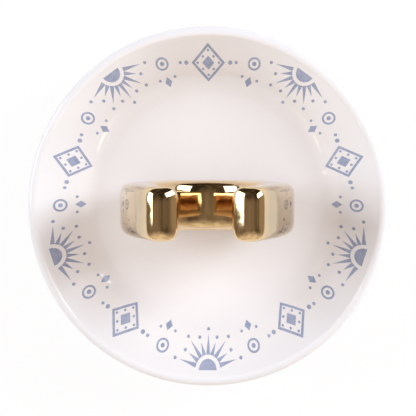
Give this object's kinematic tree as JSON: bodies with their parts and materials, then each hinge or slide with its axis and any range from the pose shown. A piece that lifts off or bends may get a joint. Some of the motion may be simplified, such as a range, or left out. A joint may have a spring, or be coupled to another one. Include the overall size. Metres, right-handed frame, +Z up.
{
  "type": "ring dish",
  "caption": "Shallow round glazed dish with a foot ring and an upright gold horseshoe bonded to its floor, whose open heels hold finger rings above the bowl for small jewellery.",
  "frame": {"origin": "centre of the foot ring's resting face, on the table", "axes": "+Z up, +X along the width of the horseshoe, +Y square to the horseshoe's face"},
  "size_m": [0.1, 0.1, 0.0518],
  "materials": {
    "white_glaze": "glossy white glaze with a fired print inside the wall",
    "gold": "mirror gold over a cast ceramic body",
    "adhesive": "cured clear epoxy"
  },
  "bodies": {
    "root": {"dish": "white_glaze", "horseshoe": "gold", "bond": "adhesive"}
  },
  "joints": []
}
